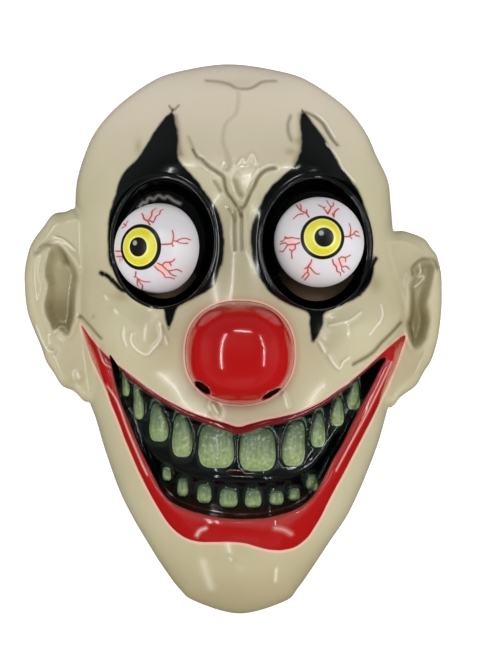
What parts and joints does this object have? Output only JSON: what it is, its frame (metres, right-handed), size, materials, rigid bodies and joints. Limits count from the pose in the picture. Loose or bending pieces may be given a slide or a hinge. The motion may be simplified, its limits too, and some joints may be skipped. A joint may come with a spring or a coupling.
{
  "type": "clown mask",
  "caption": "Glossy formed-plastic clown face mask with ears, round nose, wide toothed grin and domed eyeballs over see-through slots.",
  "frame": {"origin": "middle of the outline, on the plane of the trimmed rim that the mask lies on", "axes": "+Z out of the face, +Y towards the crown, +X to the viewer's right when the face is seen from +Z"},
  "size_m": [0.1958, 0.2587, 0.094],
  "materials": {
    "shell": "gloss",
    "eyeball": "gloss",
    "mount": "satin"
  },
  "bodies": {
    "root": {"face_shell": "shell", "eyeball_left": "eyeball", "eyeball_right": "eyeball", "eye_mount_left": "mount", "eye_mount_right": "mount"}
  },
  "joints": []
}
